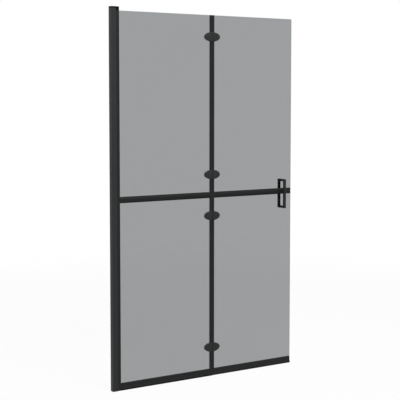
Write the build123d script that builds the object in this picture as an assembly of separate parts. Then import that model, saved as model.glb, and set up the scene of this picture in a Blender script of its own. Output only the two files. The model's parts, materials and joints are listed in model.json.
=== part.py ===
from build123d import *
import os

# Walk-in shower screen: a panel fixed to the wall and a panel that folds behind it.
# Millimetres, +Z up. X runs from the wall to the free edge and the viewer's side is -Y.
# The origin is at floor level, half way along the screen, in the middle of the glass.

# Whole screen
WIDTH = 1100.0              # wall face to free edge
HEIGHT = 1900.0             # floor to the top of the wall channel
SEAM = 951.0                # height where the upper half stands on the lower half
SEAM_GAP = 0.8              # between the halves of the wall channel and of the glazing profile
GLASS_DROP = 19.0           # top of the screen to the top of the glass
FOLD_FROM_WALL = 587.0      # wall face to the fold line
GLASS = 5.0                 # pane thickness
PANE_GAP = 1.5              # pane edge to the web of the profile that holds it
FOLD_GAP = 1.2              # between the fixed and the folding side at the fold line
FLOOR_GAP = 1.0             # floor to the seal of the folding panel

# Wall channel
CHANNEL_DEPTH = 26.0
CHANNEL_REACH = 27.5        # wall face to the edge of the flanges
CHANNEL_WEB = 2.0
CHANNEL_FLANGE = 1.5
WALL_HOLE = 5.5             # diameter
WALL_HOLE_LOW = 127.0       # lower end of each channel half to its first hole
WALL_HOLE_HIGH = 112.0      # upper end of each channel half to its last hole
CLAMP_END = 60.0            # end of each channel half to its outer clamp screws
CLAMP_FROM_WALL = 20.0
CLAMP_SHANK = 4.0           # diameter
CLAMP_HEAD = 7.0            # diameter
CLAMP_HEAD_HEIGHT = 2.2
CLAMP_SOCKET = 2.5          # hexagon across flats
CLAMP_SOCKET_DEPTH = 1.4
POST_CAP = 7.0              # thickness of the cap on the wall channel
CAP_ROUND = 1.0

# Glazing profile, which slides in the wall channel
SLIDE_GAP = 0.5             # glazing profile to channel flange
PROFILE_INSET = 3.5         # channel web to the legs of the glazing profile
PROFILE_REACH = 44.7        # wall face to the mouth of the glass pocket
PROFILE_POCKET = 16.0
PROFILE_WALL = 1.5
PROFILE_CAP_GAP = 0.5       # cap of the glazing profile to the cap of the wall channel
PROFILE_CAP_PLUG = 10.0
PROFILE_CAP_FIT = 0.2

# Mid rail, edge strips and bottom rail
RAIL_DEPTH = 14.0
UPPER_RAIL = 16.5           # height
LOWER_RAIL = 12.5           # height
RAIL_WALL = 1.5
RIB = 2.0                   # how far the rib's crest stands out from the rail's face
RIB_SLOPE = 4.2             # height of the rib's long upper side
RIB_UNDERSIDE = 2.3         # height of its short lower side
RAIL_EDGE = 0.5             # rounding of the rail's outer edges at the seam
STRIP_DEPTH = 16.0
STRIP_WIDTH = 11.9
STRIP_BACK_CUT = 5.0        # how much narrower the strip's back lip is
STRIP_ROUND = 1.0
BOTTOM_DEPTH = 18.0
BOTTOM_TOP = 35.0           # floor to the top of the bottom rail
BOTTOM_BACK_CUT = 6.0       # how much lower the bottom rail's back lip is
SKIRT_DEPTH = 25.0          # bottom rail across its skirt
SKIRT_TOP = 21.0            # floor to the start of the skirt
SKIRT_FOOT = 7.0            # floor to the skirt's lower edge
SEAL_INSET = 0.5            # side of the seal to the outside of the skirt
SEAL_HEIGHT = 10.0          # floor to the underside of the bottom rail's web
SEAL_HOLLOW = 4.5           # height of the hollow under the seal
SEAL_WALL = 3.0
RAIL_SETBACK = 4.5          # free edge of the glass to the end caps
END_CAP = 4.0
END_CAP_ROUND = 1.0
SLOT_GAP = 0.3              # pane to the sides of its slot in an end cap
FOLD_SEAL = 0.8             # thickness
FOLD_SEAL_WIDTH = 6.0

# Rubber that holds the panes
GASKET_SEAT = 8.0           # depth in the pocket
BACK_SEAT = 3.0             # depth in the pocket at a lip that is cut back
BEAD = 1.2                  # height of the bead outside the pocket

# Rivets between the upper and the lower mid rail
RIVET = 4.0                 # diameter
RIVET_HEAD = 6.5            # diameter
RIVET_HEAD_HEIGHT = 1.0
RIVET_END = 40.0            # end of the rail to its outer rivets

# Hinges
HINGE_WIDTH = 92.0
HINGE_HEIGHT = 49.0
LEAF_WIDTH = 75.0           # the leaves on the back are smaller than the front covers
LEAF_HEIGHT = 40.0
HINGE_BELOW_TOP = 111.0     # top of the glass to the first hinge
HINGE_ABOVE_SEAM = 109.0
HINGE_BELOW_SEAM = 106.0
HINGE_ABOVE_FLOOR = 151.0
HINGE_WALL = 3.7            # plate thickness over the edge strip
HINGE_POCKET_GAP = 0.3      # plate to edge strip
COVER_ROUND = 3.2
COVER_CROWN = 1.2           # how much the cover's face bulges from its ends to its middle
COVER_SPLIT_ROUND = 1.5     # rounding of the covers along the fold line
LEAF_ROUND = 1.2
PAD = 1.0                   # thickness of a pad between glass and metal
PAD_COLLAR = 8.8            # diameter
PANE_HOLE = 9.0             # diameter
HINGE_SCREW_FROM_FOLD = 22.0
HINGE_SCREW_SPACING = 15.0
HINGE_SCREW = 5.0           # diameter
HINGE_SCREW_HEAD = 9.5      # diameter
HINGE_SCREW_TIP = 3.2       # screw tip to the face of the front cover
HINGE_SCREW_SOCKET = 3.0    # hexagon across flats
HINGE_SCREW_SOCKET_DEPTH = 2.0
KNUCKLE = 11.0              # diameter
KNUCKLE_GAP = 0.5           # knuckle to edge strip
KNUCKLE_RELIEF = 0.4        # knuckle to the other leaf's plate
KNUCKLE_SPAN = 34.0
KNUCKLE_MIDDLE = 11.4       # height of the folding leaf's knuckle
KNUCKLE_END_GAP = 0.3
PIN = 5.0                   # diameter
PIN_HEAD = 8.0              # diameter
PIN_HEAD_HEIGHT = 1.5

# Handle, a loop through the glass with one grip on each side
HANDLE_FROM_EDGE = 58.4
HANDLE_BELOW_SEAM = 11.5
HANDLE_SPACING = 145.0      # between the holes in the glass
HANDLE_REACH = 26.5         # middle of the glass to the middle of the bar
HANDLE_WIDTH = 12.0         # along the screen
HANDLE_THICK = 12.0
HANDLE_ROUND = 1.0
STUD = 6.0                  # diameter
STUD_ENGAGEMENT = 16.0      # stud inside each grip

# Fits
FIT = 0.05                  # radial clearance of a shank, stud or pin in its hole
END_FIT = 0.4               # end of a screw or stud to the bottom of its blind hole

# Lines and levels that follow from the sizes above
WALL_X = -WIDTH / 2
FREE_X = WIDTH / 2
FOLD_X = WALL_X + FOLD_FROM_WALL
PROFILE_X = WALL_X + PROFILE_REACH
RAIL_END_X = FREE_X - RAIL_SETBACK - END_CAP
STRIP_OUT = FOLD_GAP / 2 + STRIP_WIDTH
CHANNEL_TOP = HEIGHT - POST_CAP
GLASS_TOP = HEIGHT - GLASS_DROP
PROFILE_HALF = CHANNEL_DEPTH / 2 - CHANNEL_FLANGE - SLIDE_GAP
PAD_Y = GLASS / 2 + PAD
HINGE_POCKET = STRIP_OUT + BEAD + HINGE_POCKET_GAP
HINGE_POCKET_Y = STRIP_DEPTH / 2 + HINGE_POCKET_GAP
HINGE_FACE_Y = HINGE_POCKET_Y + HINGE_WALL
PIN_Y = STRIP_DEPTH / 2 + KNUCKLE_GAP + KNUCKLE / 2
HANDLE_X = FREE_X - HANDLE_FROM_EDGE
HANDLE_Z = SEAM - HANDLE_BELOW_SEAM
FIXED, FOLDING = -1, 1
COVER_OVAL = HINGE_WIDTH, HINGE_HEIGHT
LEAF_OVAL = LEAF_WIDTH, LEAF_HEIGHT
PANE_LEVELS = {
    "lower": (SEAL_HEIGHT + RAIL_WALL + PANE_GAP, SEAM - RAIL_WALL - PANE_GAP),
    "upper": (SEAM + RAIL_WALL + PANE_GAP, GLASS_TOP),
}
HINGES = {
    "hinge_1": GLASS_TOP - HINGE_BELOW_TOP,
    "hinge_2": SEAM + HINGE_ABOVE_SEAM,
    "hinge_3": SEAM - HINGE_BELOW_SEAM,
    "hinge_4": HINGE_ABOVE_FLOOR,
}
pieces = {}


# Shapes that many pieces share

def block(x0, x1, y0, y1, z0, z1):
    """A box from its lowest to its highest corner."""
    box = Box(x1 - x0, y1 - y0, z1 - z0, align=(Align.MIN, Align.MIN, Align.MIN))
    return Pos(x0, y0, z0) * box


def peg(x, z, diameter, y0, y1):
    """A round bar along Y."""
    plane = Plane(origin=(x, y0, z), x_dir=(1, 0, 0), z_dir=(0, 1, 0))
    return extrude(plane * Circle(diameter / 2), y1 - y0)


def post(x, y, diameter, z0, z1):
    """A round bar along Z."""
    return extrude(Plane(origin=(x, y, z0)) * Circle(diameter / 2), z1 - z0)


def socket(x, z, across_flats, y0, y1):
    """A hexagon socket along Y."""
    plane = Plane(origin=(x, y0, z), x_dir=(1, 0, 0), z_dir=(0, 1, 0))
    hexagon = RegularPolygon(across_flats / 2, 6, major_radius=False)
    return extrude(plane * hexagon, y1 - y0)


def run_along_x(x0, x1, mouth_z, opens):
    """Where a level profile lies whose pocket opens up (1) or down (-1)."""
    start = x0 if opens > 0 else x1
    plane = Plane(origin=(start, 0, mouth_z), x_dir=(0, 1, 0), z_dir=(opens, 0, 0))
    return plane, x1 - x0


def run_along_z(z0, z1, mouth_x, opens):
    """Where an upright profile stands whose pocket opens to the free edge (1) or the wall (-1)."""
    plane = Plane(origin=(mouth_x, 0, z0), x_dir=(0, -opens, 0), z_dir=(0, 0, 1))
    return plane, z1 - z0


def band(depth, low, high):
    """Part of a profile's section, between two levels measured outwards from its mouth."""
    return Pos(0, (low + high) / 2) * Rectangle(depth, high - low)


def towards_back(plane):
    """1 if a section's own X runs to the back of the screen, or -1 if it runs to the front."""
    return 1 if plane.x_dir.Y > 0 else -1


def channel_section(plane, depth, height, wall, back_cut):
    """A pocket that is closed at its end and whose back lip is cut shorter."""
    section = band(depth, -height, 0) - band(depth - 2 * wall, wall - height, 0)
    lip = Pos(towards_back(plane) * (depth - wall) / 2, -back_cut / 2)
    return section - lip * Rectangle(wall, back_cut)


def gasket_section(side, lip_end, seat):
    """Rubber between a pane and a lip, with a bead that slopes down to the lip."""
    points = [(GLASS / 2, -seat), (side, -seat), (side, -lip_end), (GLASS / 2, BEAD - lip_end)]
    return Polygon(*points, align=None)


def gaskets(run, pocket_depth, back_cut=0):
    """The two rubber strips between a pane and the sides of a pocket."""
    plane, length = run
    side = pocket_depth / 2
    front = gasket_section(side, 0, GASKET_SEAT)
    back_seat = back_cut + BACK_SEAT if back_cut else GASKET_SEAT
    back = gasket_section(side, back_cut, back_seat)
    if towards_back(plane) > 0:
        front = mirror(front, about=Plane.YZ)
    else:
        back = mirror(back, about=Plane.YZ)
    return extrude(plane * (front + back), length)


def pane(x0, x1, z0, z1, holes):
    glass = block(x0, x1, -GLASS / 2, GLASS / 2, z0, z1)
    for x, z in holes:
        glass -= peg(x, z, PANE_HOLE, -GLASS / 2, GLASS / 2)
    return glass


def spread(first, last, count):
    """Places at equal steps from the first to the last."""
    return [first + (last - first) * i / (count - 1) for i in range(count)]


# Wall channel

def wall_channel(z0, z1):
    run = run_along_z(z0, z1, WALL_X + CHANNEL_REACH, 1)
    plane, length = run
    outer = band(CHANNEL_DEPTH, -CHANNEL_REACH, 0)
    inner = band(CHANNEL_DEPTH - 2 * CHANNEL_FLANGE, CHANNEL_WEB - CHANNEL_REACH, 0)
    shape = extrude(plane * (outer - inner), length)
    for z in spread(z0 + WALL_HOLE_LOW, z1 - WALL_HOLE_HIGH, 3):
        drill = Plane(origin=(WALL_X, 0, z), x_dir=(0, 1, 0), z_dir=(1, 0, 0))
        shape -= extrude(drill * Circle(WALL_HOLE / 2), CHANNEL_WEB)
    for z in clamp_heights(z0, z1):
        back = CHANNEL_DEPTH / 2
        shape -= peg(WALL_X + CLAMP_FROM_WALL, z, CLAMP_SHANK + 2 * FIT, back - CHANNEL_FLANGE, back)
    return shape


def clamp_heights(z0, z1):
    return spread(z0 + CLAMP_END, z1 - CLAMP_END, 3)


def clamp_screw(z):
    x = WALL_X + CLAMP_FROM_WALL
    back = CHANNEL_DEPTH / 2
    head_top = back + CLAMP_HEAD_HEIGHT
    screw = peg(x, z, CLAMP_SHANK, PROFILE_HALF, back) + peg(x, z, CLAMP_HEAD, back, head_top)
    return screw - socket(x, z, CLAMP_SOCKET, head_top - CLAMP_SOCKET_DEPTH, head_top)


def post_top_cap():
    """A cap over the wall channel that reaches over the glazing profile as well."""
    channel_edge = WALL_X + CHANNEL_REACH
    half = CHANNEL_DEPTH / 2
    cap = block(WALL_X, channel_edge, -half, half, CHANNEL_TOP, HEIGHT)
    cap += block(channel_edge, PROFILE_X, -PROFILE_HALF, PROFILE_HALF, CHANNEL_TOP, HEIGHT)
    return fillet(cap.faces().sort_by(Axis.Z)[-1].edges(), CAP_ROUND)


def wall_parts():
    low_end, high_end = SEAM - SEAM_GAP / 2, SEAM + SEAM_GAP / 2
    pieces["wall_channel_lower"] = wall_channel(0, low_end)
    pieces["wall_channel_upper"] = wall_channel(high_end, CHANNEL_TOP)
    heights = clamp_heights(0, low_end) + clamp_heights(high_end, CHANNEL_TOP)
    pieces["clamp_screws"] = [clamp_screw(z) for z in heights]
    pieces["post_top_cap"] = post_top_cap()


# Glazing profile and its cap

def glazing_profile(z0, z1):
    plane, length = run_along_z(z0, z1, PROFILE_X, 1)
    depth = 2 * PROFILE_HALF
    reach = PROFILE_REACH - CHANNEL_WEB - PROFILE_INSET
    inside = depth - 2 * PROFILE_WALL
    section = band(depth, -reach, 0) - band(inside, -PROFILE_POCKET, 0)
    section -= band(inside, -reach, -PROFILE_POCKET - PROFILE_WALL)
    return extrude(plane * section, length)


def profile_top_cap():
    """A cap that slides with the glazing profile, just under the cap of the wall channel."""
    left = WALL_X + CHANNEL_WEB + PROFILE_INSET
    top = CHANNEL_TOP - PROFILE_CAP_GAP
    cap = block(left, PROFILE_X, -PROFILE_HALF, PROFILE_HALF, GLASS_TOP, top)
    half = PROFILE_HALF - PROFILE_WALL - PROFILE_CAP_FIT
    right = PROFILE_X - PROFILE_POCKET - PROFILE_WALL - PROFILE_CAP_FIT
    return cap + block(left, right, -half, half, GLASS_TOP - PROFILE_CAP_PLUG, GLASS_TOP)


def profile_parts():
    pocket = 2 * (PROFILE_HALF - PROFILE_WALL)
    lower = run_along_z(BOTTOM_TOP + BEAD, SEAM - LOWER_RAIL - BEAD, PROFILE_X, 1)
    upper = run_along_z(SEAM + UPPER_RAIL + BEAD, GLASS_TOP, PROFILE_X, 1)
    pieces["glazing_profile_lower"] = glazing_profile(0, SEAM - SEAM_GAP / 2)
    pieces["glazing_profile_upper"] = glazing_profile(SEAM + SEAM_GAP / 2, GLASS_TOP)
    pieces["profile_top_cap"] = profile_top_cap()
    pieces["wall_gaskets_lower"] = gaskets(lower, pocket)
    pieces["wall_gaskets_upper"] = gaskets(upper, pocket)


# What the fixed and the folding panel have alike

def side_name(side):
    return "fixed" if side == FIXED else "folding"


def mirrored(side, inner, outer):
    """Two distances from the fold line as a range of X on one side of it."""
    ends = FOLD_X + side * inner, FOLD_X + side * outer
    return min(ends), max(ends)


def panel_end(side):
    """How far the panel's rails reach from the fold line."""
    return FOLD_X - PROFILE_X if side == FIXED else RAIL_END_X - FOLD_X


def hinge_screw_places(side, z):
    x = FOLD_X + side * HINGE_SCREW_FROM_FOLD
    return [(x, z - HINGE_SCREW_SPACING / 2), (x, z + HINGE_SCREW_SPACING / 2)]


def handle_places():
    return [(HANDLE_X, HANDLE_Z + side * HANDLE_SPACING / 2) for side in (-1, 1)]


def pane_holes(side):
    holes = [place for z in HINGES.values() for place in hinge_screw_places(side, z)]
    return holes + handle_places() if side == FOLDING else holes


def panes(side):
    near = FOLD_GAP / 2 + RAIL_WALL + PANE_GAP
    far = FREE_X - FOLD_X
    if side == FIXED:
        far = panel_end(side) + PROFILE_POCKET - PANE_GAP
    x0, x1 = mirrored(side, near, far)
    for half, (z0, z1) in PANE_LEVELS.items():
        holes = [(x, z) for x, z in pane_holes(side) if z0 < z < z1]
        pieces[f"{side_name(side)}_glass_{half}"] = pane(x0, x1, z0, z1, holes)


def ribbed_band(low, high, crest, up):
    """A rail's outline with a rib on both faces, whose long side looks up."""
    face = RAIL_DEPTH / 2
    slope, underside = crest + up * RIB_SLOPE, crest - up * RIB_UNDERSIDE
    corners = [(0, underside), (face, underside), (face + RIB, crest), (face, slope), (0, slope)]
    rib = Polygon(*corners[::up], align=None)
    return band(RAIL_DEPTH, low, high) + rib + mirror(rib, about=Plane.YZ)


def mid_rail(run, height):
    """One half of the mid rail, with a rib along its front and its back."""
    plane, length = run
    up = 1 if plane.y_dir.Z > 0 else -1
    outline = ribbed_band(-height, 0, -height / 2, up)
    seam_corners = outline.vertices().group_by(Axis.Y)[0]
    outline = fillet(seam_corners, RAIL_EDGE)
    section = outline - band(RAIL_DEPTH - 2 * RAIL_WALL, RAIL_WALL - height, 0)
    return extrude(plane * section, length)


def rivet(x):
    shank = post(x, 0, RIVET, SEAM - RAIL_WALL, SEAM + RAIL_WALL)
    top = SEAM + RAIL_WALL
    upper = post(x, 0, RIVET_HEAD, top, top + RIVET_HEAD_HEIGHT)
    bottom = SEAM - RAIL_WALL
    lower = post(x, 0, RIVET_HEAD, bottom - RIVET_HEAD_HEIGHT, bottom)
    return shank + upper + lower


def mid_rails(side):
    name = side_name(side)
    x0, x1 = mirrored(side, STRIP_OUT, panel_end(side))
    upper = run_along_x(x0, x1, SEAM + UPPER_RAIL, 1)
    lower = run_along_x(x0, x1, SEAM - LOWER_RAIL, -1)
    upper_rail = mid_rail(upper, UPPER_RAIL)
    lower_rail = mid_rail(lower, LOWER_RAIL)
    rivets = spread(x0 + RIVET_END, x1 - RIVET_END, 3)
    for x in rivets:
        hole = post(x, 0, RIVET + 2 * FIT, SEAM - RAIL_WALL, SEAM + RAIL_WALL)
        upper_rail -= hole
        lower_rail -= hole
    pocket = RAIL_DEPTH - 2 * RAIL_WALL
    pieces[f"{name}_upper_rail"] = upper_rail
    pieces[f"{name}_lower_rail"] = lower_rail
    pieces[f"{name}_rail_rivets"] = [rivet(x) for x in rivets]
    pieces[f"{name}_rail_gaskets"] = [gaskets(upper, pocket), gaskets(lower, pocket)]


def edge_strip(side):
    """The upright profile that closes the panel at the fold line."""
    mouth = FOLD_X + side * STRIP_OUT
    plane, length = run_along_z(BOTTOM_TOP, GLASS_TOP, mouth, side)
    section = channel_section(plane, STRIP_DEPTH, STRIP_WIDTH, RAIL_WALL, STRIP_BACK_CUT)
    strip = extrude(plane * section, length)
    by_x = strip.edges().filter_by(Axis.Z).group_by(Axis.X)
    outer = by_x[-1] if side == FIXED else by_x[0]
    strip = fillet(outer, STRIP_ROUND)
    pocket = STRIP_DEPTH - 2 * RAIL_WALL
    lower = run_along_z(BOTTOM_TOP + BEAD, SEAM - LOWER_RAIL - BEAD, mouth, side)
    upper = run_along_z(SEAM + UPPER_RAIL + BEAD, GLASS_TOP, mouth, side)
    pieces[f"{side_name(side)}_edge_strip"] = strip
    rubber = [gaskets(run, pocket, STRIP_BACK_CUT) for run in (lower, upper)]
    pieces[f"{side_name(side)}_edge_gaskets"] = rubber


def skirt_section():
    """The lower part of the bottom rail, which flares out on both sides in a hollow curve."""
    face, edge = BOTTOM_DEPTH / 2, SKIRT_DEPTH / 2
    flare = TangentArc((face, SKIRT_TOP), (edge, SKIRT_FOOT), tangent=(0, -1))
    rest = Polyline((edge, SKIRT_FOOT), (0, SKIRT_FOOT), (0, SKIRT_TOP), (face, SKIRT_TOP))
    half = make_face(Curve() + [flare, rest])
    return half + mirror(half, about=Plane.YZ)


def bottom_rail(side):
    name = side_name(side)
    x0, x1 = mirrored(side, FOLD_GAP / 2, panel_end(side))
    plane, length = run_along_x(x0, x1, BOTTOM_TOP, 1)
    pocket = BOTTOM_DEPTH - 2 * RAIL_WALL
    rail = channel_section(plane, BOTTOM_DEPTH, BOTTOM_TOP - SEAL_HEIGHT, RAIL_WALL, BOTTOM_BACK_CUT)
    skirt = skirt_section() - band(pocket, SEAL_HEIGHT + RAIL_WALL, SKIRT_TOP)
    skirt -= band(seal_neck(), SKIRT_FOOT, SEAL_HEIGHT)
    rail += Pos(0, -BOTTOM_TOP) * skirt
    pieces[f"{name}_bottom_rail"] = extrude(plane * rail, length)
    g0, g1 = mirrored(side, STRIP_OUT, panel_end(side))
    rubber = gaskets(run_along_x(g0, g1, BOTTOM_TOP, 1), pocket, BOTTOM_BACK_CUT)
    pieces[f"{name}_bottom_gaskets"] = rubber
    foot = 0 if side == FIXED else FLOOR_GAP
    plane, length = run_along_x(x0, x1, 0, 1)
    pieces[f"{name}_floor_seal"] = extrude(plane * seal_section(foot), length)


def seal_neck():
    """Width of the seal's upper part, which sits inside the skirt."""
    return SKIRT_DEPTH - 2 * RAIL_WALL


def seal_section(foot):
    """The rubber under the bottom rail: a lip on each side and a hollow between."""
    width = SKIRT_DEPTH - 2 * SEAL_INSET
    rubber = band(width, foot, SKIRT_FOOT) + band(seal_neck(), SKIRT_FOOT, SEAL_HEIGHT)
    return rubber - band(width - 2 * SEAL_WALL, foot, SEAL_HOLLOW)


# Hinges

def plate_outline(side, near, oval):
    """Half of a hinge's oval, from a line beside the fold to its end."""
    full_width, height = oval
    width = full_width / 2 - near
    cut = Pos(side * (near + width / 2), 0) * Rectangle(width, height)
    return Ellipse(full_width / 2, height / 2) & cut


def plate(side, z, near, y0, y1):
    """Half of an oval plate on the front, or of the smaller one on the back."""
    oval = COVER_OVAL if y0 < 0 else LEAF_OVAL
    plane = Plane(origin=(FOLD_X, y0, z), x_dir=(1, 0, 0), z_dir=(0, 1, 0))
    return extrude(plane * plate_outline(side, near, oval), y1 - y0)


def strip_pocket(side, z, y0, y1):
    """Room behind a hinge plate for the edge strip and its gasket."""
    x0, x1 = mirrored(side, 0, HINGE_POCKET)
    return block(x0, x1, y0, y1, z - HINGE_HEIGHT / 2, z + HINGE_HEIGHT / 2)


def crown(z):
    """A round bar along X whose side is the bulging face of a hinge cover."""
    radius = COVER_CROWN / 2 + HINGE_HEIGHT ** 2 / (8 * COVER_CROWN)
    centre_y = radius - HINGE_FACE_Y - COVER_CROWN
    plane = Plane(origin=(FOLD_X, centre_y, z), x_dir=(0, 1, 0), z_dir=(1, 0, 0))
    return extrude(plane * Circle(radius), HINGE_WIDTH, both=True)


def front_edges(cover):
    """The edges of a cover's face, from the fold line outwards."""
    face = cover.faces().sort_by(Axis.Y)[0]
    return face.edges().sort_by(lambda edge: abs(edge.center().X - FOLD_X))


def front_cover(side, z):
    cover = plate(side, z, FOLD_GAP / 2, -HINGE_FACE_Y - COVER_CROWN, -PAD_Y) & crown(z)
    cover = fillet(front_edges(cover)[1:], COVER_ROUND)
    cover = fillet(front_edges(cover)[:1], COVER_SPLIT_ROUND)
    cover -= strip_pocket(side, z, -HINGE_POCKET_Y, -PAD_Y)
    for x, screw_z in hinge_screw_places(side, z):
        bottom = -HINGE_FACE_Y + HINGE_SCREW_TIP - END_FIT
        cover -= peg(x, screw_z, HINGE_SCREW + 2 * FIT, bottom, -PAD_Y)
    return cover


def screw_shape(x, z, extra):
    """A countersunk screw along Y, or with extra width the hole that it sits in."""
    tip = -HINGE_FACE_Y + HINGE_SCREW_TIP
    shank_radius = HINGE_SCREW / 2 + extra
    head_radius = HINGE_SCREW_HEAD / 2 + extra
    cone_depth = head_radius - shank_radius
    shank = peg(x, z, 2 * shank_radius, tip, HINGE_FACE_Y)
    place = Pos(x, HINGE_FACE_Y - cone_depth / 2, z) * Rot(-90, 0, 0)
    return shank + place * Cone(shank_radius, head_radius, cone_depth)


def hinge_screw(x, z):
    bottom = HINGE_FACE_Y - HINGE_SCREW_SOCKET_DEPTH
    return screw_shape(x, z, 0) - socket(x, z, HINGE_SCREW_SOCKET, bottom, HINGE_FACE_Y)


def knuckle_spans(side, z):
    """Heights of the leaf's own knuckles."""
    half, middle = KNUCKLE_SPAN / 2, KNUCKLE_MIDDLE / 2
    if side == FOLDING:
        return [(z - middle, z + middle)]
    inner = middle + KNUCKLE_END_GAP
    return [(z - half, z - inner), (z + inner, z + half)]


def relief_spans(side, z):
    """Heights where the plate makes room for the other knuckles and the pin's head."""
    half, middle, edge = KNUCKLE_SPAN / 2, KNUCKLE_MIDDLE / 2, LEAF_HEIGHT / 2
    if side == FOLDING:
        return [(z - edge, z - middle), (z + middle, z + edge)]
    inner = middle + KNUCKLE_END_GAP
    return [(z - edge, z - half), (z - inner, z + inner), (z + half, z + edge)]


def back_leaf(side, z):
    leaf = plate(side, z, FOLD_GAP / 2, PAD_Y, HINGE_FACE_Y)
    rim = leaf.faces().sort_by(Axis.Y)[-1].edges().filter_by(GeomType.LINE, reverse=True)
    leaf = fillet(rim, LEAF_ROUND)
    leaf -= strip_pocket(side, z, PAD_Y, HINGE_POCKET_Y)
    for low, high in relief_spans(side, z):
        leaf -= post(FOLD_X, PIN_Y, KNUCKLE + 2 * KNUCKLE_RELIEF, low, high)
    for low, high in knuckle_spans(side, z):
        leaf += post(FOLD_X, PIN_Y, KNUCKLE, low, high)
        leaf -= post(FOLD_X, PIN_Y, PIN + 2 * FIT, low, high)
    for x, screw_z in hinge_screw_places(side, z):
        leaf -= screw_shape(x, screw_z, FIT)
    return leaf


def hinge_pin(z):
    half = KNUCKLE_SPAN / 2
    shank = post(FOLD_X, PIN_Y, PIN, z - half, z + half)
    return shank + post(FOLD_X, PIN_Y, PIN_HEAD, z + half, z + half + PIN_HEAD_HEIGHT)


def hinge_pad(side, z, face):
    """The pad on one face of the glass, with collars that line the holes."""
    y0, y1 = sorted((face * GLASS / 2, face * PAD_Y))
    pad = plate(side, z, HINGE_POCKET, y0, y1)
    return add_collars(pad, hinge_screw_places(side, z), face, HINGE_SCREW)


def add_collars(pad, places, face, shank):
    """Collars reach half way through the glass, less the end fit."""
    inner, outer = sorted((face * END_FIT / 2, face * GLASS / 2))
    for x, z in places:
        pad += peg(x, z, PAD_COLLAR, inner, outer)
        pad -= peg(x, z, shank + 2 * FIT, -PAD_Y, PAD_Y)
    return pad


def hinges(side):
    name = side_name(side)
    pads, screws = [], []
    for hinge, z in HINGES.items():
        pieces[f"{hinge}_{name}_cover"] = front_cover(side, z)
        pieces[f"{hinge}_{name}_leaf"] = back_leaf(side, z)
        pads += [hinge_pad(side, z, face) for face in (-1, 1)]
        screws += [hinge_screw(x, screw_z) for x, screw_z in hinge_screw_places(side, z)]
    pieces[f"{name}_hinge_pads"] = pads
    pieces[f"{name}_hinge_screws"] = screws


# Fold seal and end caps

def fold_seal():
    """Rubber on the fixed edge strip that fills most of the gap at the fold line."""
    x0 = FOLD_X - FOLD_GAP / 2
    half = FOLD_SEAL_WIDTH / 2
    return block(x0, x0 + FOLD_SEAL, -half, half, BOTTOM_TOP, GLASS_TOP)


def cap_plate(section):
    """A plate on the end of a rail, rounded on its outer face, with slots for the panes."""
    plane = Plane(origin=(RAIL_END_X, 0, 0), x_dir=(0, 1, 0), z_dir=(1, 0, 0))
    cap = extrude(plane * section, END_CAP)
    cap = fillet(cap.faces().sort_by(Axis.X)[-1].edges(), END_CAP_ROUND)
    half = GLASS / 2 + SLOT_GAP
    for low, high in PANE_LEVELS.values():
        cap -= block(RAIL_END_X, FREE_X, -half, half, low - SLOT_GAP, high + SLOT_GAP)
    return cap


def end_caps():
    low, high = SEAM - LOWER_RAIL, SEAM + UPPER_RAIL
    rail = ribbed_band(low, high, SEAM + UPPER_RAIL / 2, 1)
    rail += ribbed_band(low, high, SEAM - LOWER_RAIL / 2, 1)
    foot = skirt_section() + band(SKIRT_DEPTH, FLOOR_GAP, SKIRT_FOOT)
    foot += band(BOTTOM_DEPTH, SKIRT_TOP, BOTTOM_TOP)
    pieces["mid_rail_end_cap"] = cap_plate(rail)
    pieces["bottom_rail_end_cap"] = cap_plate(foot)


# Handle

def grip(face):
    """One side of the handle: a bar with two posts that come from the glass."""
    x0, x1 = HANDLE_X - HANDLE_WIDTH / 2, HANDLE_X + HANDLE_WIDTH / 2
    half = (HANDLE_SPACING + HANDLE_THICK) / 2
    outer = HANDLE_REACH + HANDLE_THICK / 2
    inner = HANDLE_REACH - HANDLE_THICK / 2
    y0, y1 = sorted((face * PAD_Y, face * outer))
    loop = block(x0, x1, y0, y1, HANDLE_Z - half, HANDLE_Z + half)
    y0, y1 = sorted((face * PAD_Y, face * inner))
    loop -= block(x0, x1, y0, y1, HANDLE_Z - half + HANDLE_THICK, HANDLE_Z + half - HANDLE_THICK)
    outside = loop.edges().group_by(Axis.Y)[0 if face < 0 else -1]
    loop = fillet(outside, HANDLE_ROUND)
    y0, y1 = sorted((face * PAD_Y, face * (PAD_Y + STUD_ENGAGEMENT + END_FIT)))
    for x, z in handle_places():
        loop -= peg(x, z, STUD + 2 * FIT, y0, y1)
    return loop


def handle_pad(place, face):
    x, z = place
    half_x, half_z = HANDLE_WIDTH / 2, HANDLE_THICK / 2
    y0, y1 = sorted((face * GLASS / 2, face * PAD_Y))
    pad = block(x - half_x, x + half_x, y0, y1, z - half_z, z + half_z)
    return add_collars(pad, [place], face, STUD)


def handle():
    reach = PAD_Y + STUD_ENGAGEMENT
    pieces["handle_front_grip"] = grip(-1)
    pieces["handle_rear_grip"] = grip(1)
    pieces["handle_pads"] = [handle_pad(place, face) for place in handle_places() for face in (-1, 1)]
    pieces["handle_studs"] = [peg(x, z, STUD, -reach, reach) for x, z in handle_places()]


def build():
    wall_parts()
    profile_parts()
    for side in (FIXED, FOLDING):
        panes(side)
        mid_rails(side)
        edge_strip(side)
        bottom_rail(side)
        hinges(side)
    pieces["hinge_pins"] = [hinge_pin(z) for z in HINGES.values()]
    pieces["fold_seal"] = fold_seal()
    end_caps()
    handle()


def solids_of(shape):
    """The separate solids of a piece or of a group of alike pieces."""
    parts = shape if isinstance(shape, list) else [shape]
    return [solid for part in parts for solid in part.solids()]


build()
os.makedirs("parts", exist_ok=True)
for node, shape in pieces.items():
    solids = solids_of(shape)
    export_step(solids[0] if len(solids) == 1 else Compound(children=solids), f"parts/{node}.step")
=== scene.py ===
import json
import math

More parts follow.
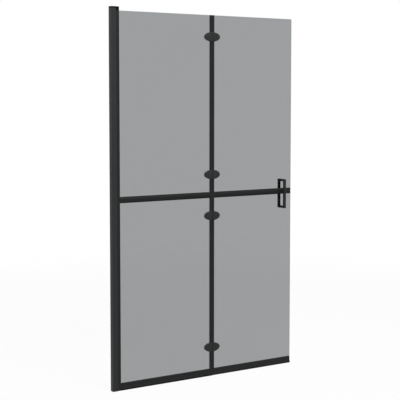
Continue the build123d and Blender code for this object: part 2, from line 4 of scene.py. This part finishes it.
import bpy
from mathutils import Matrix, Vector

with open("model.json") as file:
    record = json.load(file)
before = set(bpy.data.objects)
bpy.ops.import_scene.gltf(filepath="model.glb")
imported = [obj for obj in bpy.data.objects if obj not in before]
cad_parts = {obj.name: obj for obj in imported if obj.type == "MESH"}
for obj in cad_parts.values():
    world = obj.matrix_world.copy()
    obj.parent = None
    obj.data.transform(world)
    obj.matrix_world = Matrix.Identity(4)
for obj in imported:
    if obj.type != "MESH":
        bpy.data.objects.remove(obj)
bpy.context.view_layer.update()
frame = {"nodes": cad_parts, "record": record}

# Walk-in shower screen: finishes, studio and camera. Metres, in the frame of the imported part:
# X from the wall to the free edge, -Y towards the viewer, Z up from the floor.

MM = 0.001
bpy.ops.object.select_all(action="DESELECT")


# Shader groups that several finishes share

GRAIN_DETAIL = 2.0
BLOTCH_DETAIL = 3.0
BLOTCH_ROUGHNESS = 0.6
LINE_DETAIL = 3.0


def new_group(name, inputs, outputs):
    """A shader node group with float or colour inputs and outputs, by name."""
    group = bpy.data.node_groups.new(name, "ShaderNodeTree")
    kinds = {"value": "NodeSocketFloat", "colour": "NodeSocketColor"}
    for label, kind, default in inputs:
        socket = group.interface.new_socket(label, in_out="INPUT", socket_type=kinds[kind])
        socket.default_value = default
    for label, kind in outputs:
        group.interface.new_socket(label, in_out="OUTPUT", socket_type=kinds[kind])
    start = group.nodes.new("NodeGroupInput")
    end = group.nodes.new("NodeGroupOutput")
    return group, start, end


def add(tree, kind, **settings):
    node = tree.nodes.new(kind)
    for key, value in settings.items():
        setattr(node, key, value)
    return node


def noise(tree, vector, scale, detail, roughness=0.5):
    node = add(tree, "ShaderNodeTexNoise")
    tree.links.new(vector, node.inputs["Vector"])
    node.inputs["Detail"].default_value = detail
    node.inputs["Roughness"].default_value = roughness
    if isinstance(scale, (int, float)):
        node.inputs["Scale"].default_value = scale
    else:
        tree.links.new(scale, node.inputs["Scale"])
    return node.outputs["Fac"]


def math_node(tree, operation, first, second, third=None):
    node = add(tree, "ShaderNodeMath", operation=operation)
    for slot, value in enumerate((first, second, third)):
        if value is None:
            continue
        if isinstance(value, (int, float)):
            node.inputs[slot].default_value = value
        else:
            tree.links.new(value, node.inputs[slot])
    return node.outputs[0]


def around(tree, middle, mask, spread):
    """A value that swings about its middle by a mask that runs from 0 to 1."""
    centred = math_node(tree, "SUBTRACT", mask, 0.5)
    return math_node(tree, "MULTIPLY_ADD", centred, spread, middle)


def tinted(tree, colour, factor):
    """A colour made lighter or darker by a factor near 1."""
    node = add(tree, "ShaderNodeVectorMath", operation="SCALE")
    tree.links.new(colour, node.inputs[0])
    tree.links.new(factor, node.inputs["Scale"])
    return node.outputs[0]


def coat_group():
    """Sprayed or anodised skin: fine grain, soft blotches and a rubbed sheen."""
    inputs = [("Colour", "colour", (0.02, 0.02, 0.02, 1)), ("Colour swing", "value", 0.2),
              ("Roughness", "value", 0.45), ("Roughness swing", "value", 0.1),
              ("Grain size", "value", 1400.0), ("Blotch size", "value", 9.0)]
    outputs = [("Colour", "colour"), ("Roughness", "value"), ("Height", "value")]
    group, start, end = new_group("coat_skin", inputs, outputs)
    place = add(group, "ShaderNodeTexCoord").outputs["Object"]
    grain = noise(group, place, start.outputs["Grain size"], GRAIN_DETAIL)
    blotch_size = start.outputs["Blotch size"]
    blotch = noise(group, place, blotch_size, BLOTCH_DETAIL, BLOTCH_ROUGHNESS)
    one = math_node(group, "ADD", 0.0, 1.0)
    factor = around(group, one, blotch, start.outputs["Colour swing"])
    rough = around(group, start.outputs["Roughness"], blotch, start.outputs["Roughness swing"])
    group.links.new(tinted(group, start.outputs["Colour"], factor), end.inputs["Colour"])
    group.links.new(rough, end.inputs["Roughness"])
    group.links.new(grain, end.inputs["Height"])
    return group


def drawn_group():
    """Fine lines along a drawn or extruded piece: stretched noise, as a height and a mask."""
    inputs = [("Lines", "value", 900.0), ("Stretch", "value", 0.02)]
    group, start, end = new_group("drawn_lines", inputs, [("Height", "value")])
    place = add(group, "ShaderNodeTexCoord").outputs["Object"]
    split = add(group, "ShaderNodeSeparateXYZ")
    group.links.new(place, split.inputs[0])
    join = add(group, "ShaderNodeCombineXYZ")
    group.links.new(split.outputs["X"], join.inputs["X"])
    group.links.new(split.outputs["Y"], join.inputs["Y"])
    squeezed = math_node(group, "MULTIPLY", split.outputs["Z"], start.outputs["Stretch"])
    group.links.new(squeezed, join.inputs["Z"])
    lines = noise(group, join.outputs[0], start.outputs["Lines"], LINE_DETAIL)
    group.links.new(lines, end.inputs["Height"])
    return group


COAT = coat_group()
DRAWN = drawn_group()


# Finishes

COAT_GRAIN = 1400.0
COAT_BUMP = 0.15
COAT_BUMP_HEIGHT = 0.05 * MM
COAT_COLOUR_SWING = 0.25
COAT_ROUGHNESS_SWING = 0.12
STEEL_COLOUR_SWING = 0.3
STEEL_ROUGHNESS_SWING = 0.15
STEEL_BLOTCH = 60.0
STEEL_BUMP = 0.2
STEEL_BUMP_HEIGHT = 0.03 * MM
GLASS_TINT = (0.3050, 0.3150, 0.3221)
GLASS_SHADOW = (0.45, 0.46, 0.47)
GLASS_SMEAR = {"Colour swing": 0.02, "Roughness": 0.012, "Roughness swing": 0.016,
               "Blotch size": 2.5}
GLASS_IOR = 1.5


def finish(name):
    """A material with a principled shader, and the two nodes that others connect to."""
    material = bpy.data.materials.new(name)
    material.use_nodes = True
    tree = material.node_tree
    return material, tree, tree.nodes["Principled BSDF"]


def place_group(tree, group, values):
    node = add(tree, "ShaderNodeGroup", node_tree=group)
    for label, value in values.items():
        node.inputs[label].default_value = value
    return node


def bumped(tree, height, shader, strength, distance):
    bump = add(tree, "ShaderNodeBump")
    bump.inputs["Strength"].default_value = strength
    bump.inputs["Distance"].default_value = distance
    tree.links.new(height, bump.inputs["Height"])
    tree.links.new(bump.outputs["Normal"], shader.inputs["Normal"])


def coated(name, colour, roughness, specular, grain=COAT_GRAIN, bump=COAT_BUMP):
    """A coated, moulded or rubber skin in one colour."""
    material, tree, shader = finish(name)
    skin = place_group(tree, COAT, {"Colour": (*colour, 1.0), "Colour swing": COAT_COLOUR_SWING,
                                    "Roughness": roughness,
                                    "Roughness swing": COAT_ROUGHNESS_SWING,
                                    "Grain size": grain})
    tree.links.new(skin.outputs["Colour"], shader.inputs["Base Color"])
    tree.links.new(skin.outputs["Roughness"], shader.inputs["Roughness"])
    shader.inputs["Specular IOR Level"].default_value = specular
    bumped(tree, skin.outputs["Height"], shader, bump, COAT_BUMP_HEIGHT)
    return material


def steel(name, colour, roughness):
    """Blackened metal with fine lines along it."""
    material, tree, shader = finish(name)
    skin = place_group(tree, COAT, {"Colour": (*colour, 1.0), "Colour swing": STEEL_COLOUR_SWING,
                                    "Roughness": roughness,
                                    "Roughness swing": STEEL_ROUGHNESS_SWING,
                                    "Blotch size": STEEL_BLOTCH})
    lines = place_group(tree, DRAWN, {})
    tree.links.new(skin.outputs["Colour"], shader.inputs["Base Color"])
    tree.links.new(skin.outputs["Roughness"], shader.inputs["Roughness"])
    shader.inputs["Metallic"].default_value = 1.0
    bumped(tree, lines.outputs["Height"], shader, STEEL_BUMP, STEEL_BUMP_HEIGHT)
    return material


def grey_glass(name):
    """Tinted pane: clear to light but grey, and faintly smeared."""
    material, tree, shader = finish(name)
    skin = place_group(tree, COAT, {"Colour": (*GLASS_TINT, 1.0), **GLASS_SMEAR})
    tree.links.new(skin.outputs["Colour"], shader.inputs["Base Color"])
    tree.links.new(skin.outputs["Roughness"], shader.inputs["Roughness"])
    shader.inputs["Transmission Weight"].default_value = 1.0
    shader.inputs["IOR"].default_value = GLASS_IOR
    clear = add(tree, "ShaderNodeBsdfTransparent")
    clear.inputs["Color"].default_value = (*GLASS_SHADOW, 1.0)
    path = add(tree, "ShaderNodeLightPath")
    mix = add(tree, "ShaderNodeMixShader")
    output = tree.nodes["Material Output"]
    tree.links.new(path.outputs["Is Shadow Ray"], mix.inputs[0])
    tree.links.new(shader.outputs[0], mix.inputs[1])
    tree.links.new(clear.outputs[0], mix.inputs[2])
    tree.links.new(mix.outputs[0], output.inputs["Surface"])
    return material


FINISHES = {
    "frame": coated("black_powder_coat", (0.0288, 0.0291, 0.0296), 0.36, 0.11),
    "rail": coated("black_rail_coat", (0.015, 0.0152, 0.0155), 0.34, 0.13),
    # Painted shade: the lower rails take a darker copy of the rail coat for the shade they sit in
    # below the upper rails.
    "lower_rail": coated("black_lower_rail_painted_shade", (0.0095, 0.0097, 0.01), 0.38, 0.08),
    "hinge": coated("black_cast_satin", (0.0288, 0.029, 0.0295), 0.28, 0.08, grain=900.0),
    "handle": coated("black_bar_satin", (0.0267, 0.027, 0.0275), 0.3, 0.08),
    "cap": coated("black_moulded_cap", (0.0035, 0.0035, 0.0036), 0.5, 0.03, grain=1100.0),
    "rubber": coated("black_rubber", (0.007, 0.007, 0.0072), 0.7, 0.04, grain=800.0, bump=0.3),
    "steel": steel("blackened_steel", (0.09, 0.09, 0.094), 0.34),
    "glass": grey_glass("grey_glass"),
}
DARKER_FRAME_PARTS = ("rail", "strip", "glazing_profile")


def finish_for(name, slot):
    """The finish of a node's material slot; the frame's inner profiles are darker, and the lower
    rails darker still, as painted shade under the upper rails.
    """
    # Painted shade: the lower rails take the darker copy.
    if slot == "frame" and "lower_rail" in name:
        return FINISHES["lower_rail"]
    if slot == "frame" and any(part in name for part in DARKER_FRAME_PARTS):
        return FINISHES["rail"]
    return FINISHES[slot]


def dress_nodes():
    """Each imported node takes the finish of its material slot."""
    slots = {part["node"]: part["material_slot"] for part in frame["record"]["subparts"]}
    for name, node in frame["nodes"].items():
        node.data.materials.clear()
        node.data.materials.append(finish_for(name, slots[name]))


dress_nodes()


# Studio: a pale floor, a white surround and three soft lamps

WORLD_LIGHT = 0.13
FLOOR_COLOUR = (0.6, 0.6, 0.6)
FLOOR_WHITE_SHARE = 0.95
FLOOR_RADIUS = 14.0
FLOOR_EDGES = 96
FLOOR_SKIN = {"Colour swing": 0.03, "Roughness": 0.7, "Blotch size": 1.5}
FLOOR_SPECULAR = 0.1
SHADOW_REACH = 2.4
LAMP_TARGET = (0, 0, 1.0)
LAMPS = {
    "front_high": {"place": (0.0, -3.6, 5.0), "size": 1.6, "power": 260},
    "overhead": {"place": (0.0, 0.2, 6.0), "size": 2.0, "power": 140},
    "back_left": {"place": (-3.0, 3.8, 3.6), "size": 1.6, "power": 40},
}


def seen_directly(tree):
    """1 for rays that show the background itself: camera, mirror and glass rays."""
    path = add(tree, "ShaderNodeLightPath")
    camera, mirror = path.outputs["Is Camera Ray"], path.outputs["Is Glossy Ray"]
    either = math_node(tree, "MAXIMUM", camera, mirror)
    return math_node(tree, "MAXIMUM", either, path.outputs["Is Transmission Ray"])


def white_surround():
    """White where it shows, and a weak even light elsewhere."""
    world = bpy.data.worlds.new("white_surround")
    bpy.context.scene.world = world
    world.use_nodes = True
    tree = world.node_tree
    background = tree.nodes["Background"]
    background.inputs["Color"].default_value = (1, 1, 1, 1)
    strength = math_node(tree, "MULTIPLY_ADD", seen_directly(tree), 1.0 - WORLD_LIGHT, WORLD_LIGHT)
    tree.links.new(strength, background.inputs["Strength"])


def white_share(tree):
    """How much of the floor shows as plain white: all of it beyond the reach of the shadows."""
    place = add(tree, "ShaderNodeTexCoord").outputs["Object"]
    length = add(tree, "ShaderNodeVectorMath", operation="LENGTH")
    tree.links.new(place, length.inputs[0])
    ramp = add(tree, "ShaderNodeMapRange", interpolation_type="SMOOTHSTEP")
    tree.links.new(length.outputs["Value"], ramp.inputs["Value"])
    ramp.inputs["From Min"].default_value = SHADOW_REACH
    ramp.inputs["From Max"].default_value = 2 * SHADOW_REACH
    ramp.inputs["To Min"].default_value = FLOOR_WHITE_SHARE
    return math_node(tree, "MULTIPLY", seen_directly(tree), ramp.outputs["Result"])


def pale_floor():
    bpy.ops.mesh.primitive_circle_add(vertices=FLOOR_EDGES, radius=FLOOR_RADIUS, fill_type="NGON")
    floor = bpy.context.object
    floor.name = "studio_floor"
    material, tree, shader = finish("pale_floor")
    skin = place_group(tree, COAT, {"Colour": (*FLOOR_COLOUR, 1.0), **FLOOR_SKIN})
    tree.links.new(skin.outputs["Colour"], shader.inputs["Base Color"])
    tree.links.new(skin.outputs["Roughness"], shader.inputs["Roughness"])
    shader.inputs["Specular IOR Level"].default_value = FLOOR_SPECULAR
    white = add(tree, "ShaderNodeEmission")
    mix = add(tree, "ShaderNodeMixShader")
    tree.links.new(white_share(tree), mix.inputs[0])
    tree.links.new(shader.outputs[0], mix.inputs[1])
    tree.links.new(white.outputs[0], mix.inputs[2])
    tree.links.new(mix.outputs[0], tree.nodes["Material Output"].inputs["Surface"])
    floor.data.materials.append(material)


def lamp(name, place, size, power):
    """A square soft lamp that points at the middle of the screen."""
    data = bpy.data.lights.new(name, "AREA")
    data.size = size
    data.energy = power
    lamp_object = bpy.data.objects.new(name, data)
    bpy.context.scene.collection.objects.link(lamp_object)
    lamp_object.location = place
    aim = Vector(LAMP_TARGET) - Vector(place)
    lamp_object.rotation_euler = aim.to_track_quat("-Z", "Y").to_euler()


white_surround()
pale_floor()
for name, values in LAMPS.items():
    lamp(name, **values)


# Camera, recovered from the photograph's vanishing lines

IMAGE_SIDE = 400
CAMERA_PLACE = (-2.8987, -4.5457, 1.4480)
CAMERA_YAW = math.radians(32.228)
CAMERA_PITCH = math.radians(4.0)
FOCAL_PIXELS = 1043.0
PRINCIPAL_ROW = 172.52
SENSOR = 36.0
CLIP_END = 60.0


def photograph_camera():
    data = bpy.data.cameras.new("photograph_camera")
    data.sensor_width = SENSOR
    data.lens = FOCAL_PIXELS / IMAGE_SIDE * SENSOR
    data.shift_y = (PRINCIPAL_ROW - IMAGE_SIDE / 2) / IMAGE_SIDE
    data.clip_end = CLIP_END
    camera = bpy.data.objects.new("photograph_camera", data)
    bpy.context.scene.collection.objects.link(camera)
    camera.location = CAMERA_PLACE
    camera.rotation_euler = (math.pi / 2 - CAMERA_PITCH, 0, -CAMERA_YAW)
    bpy.context.scene.camera = camera


photograph_camera()
bpy.context.scene.view_settings.view_transform = "Standard"
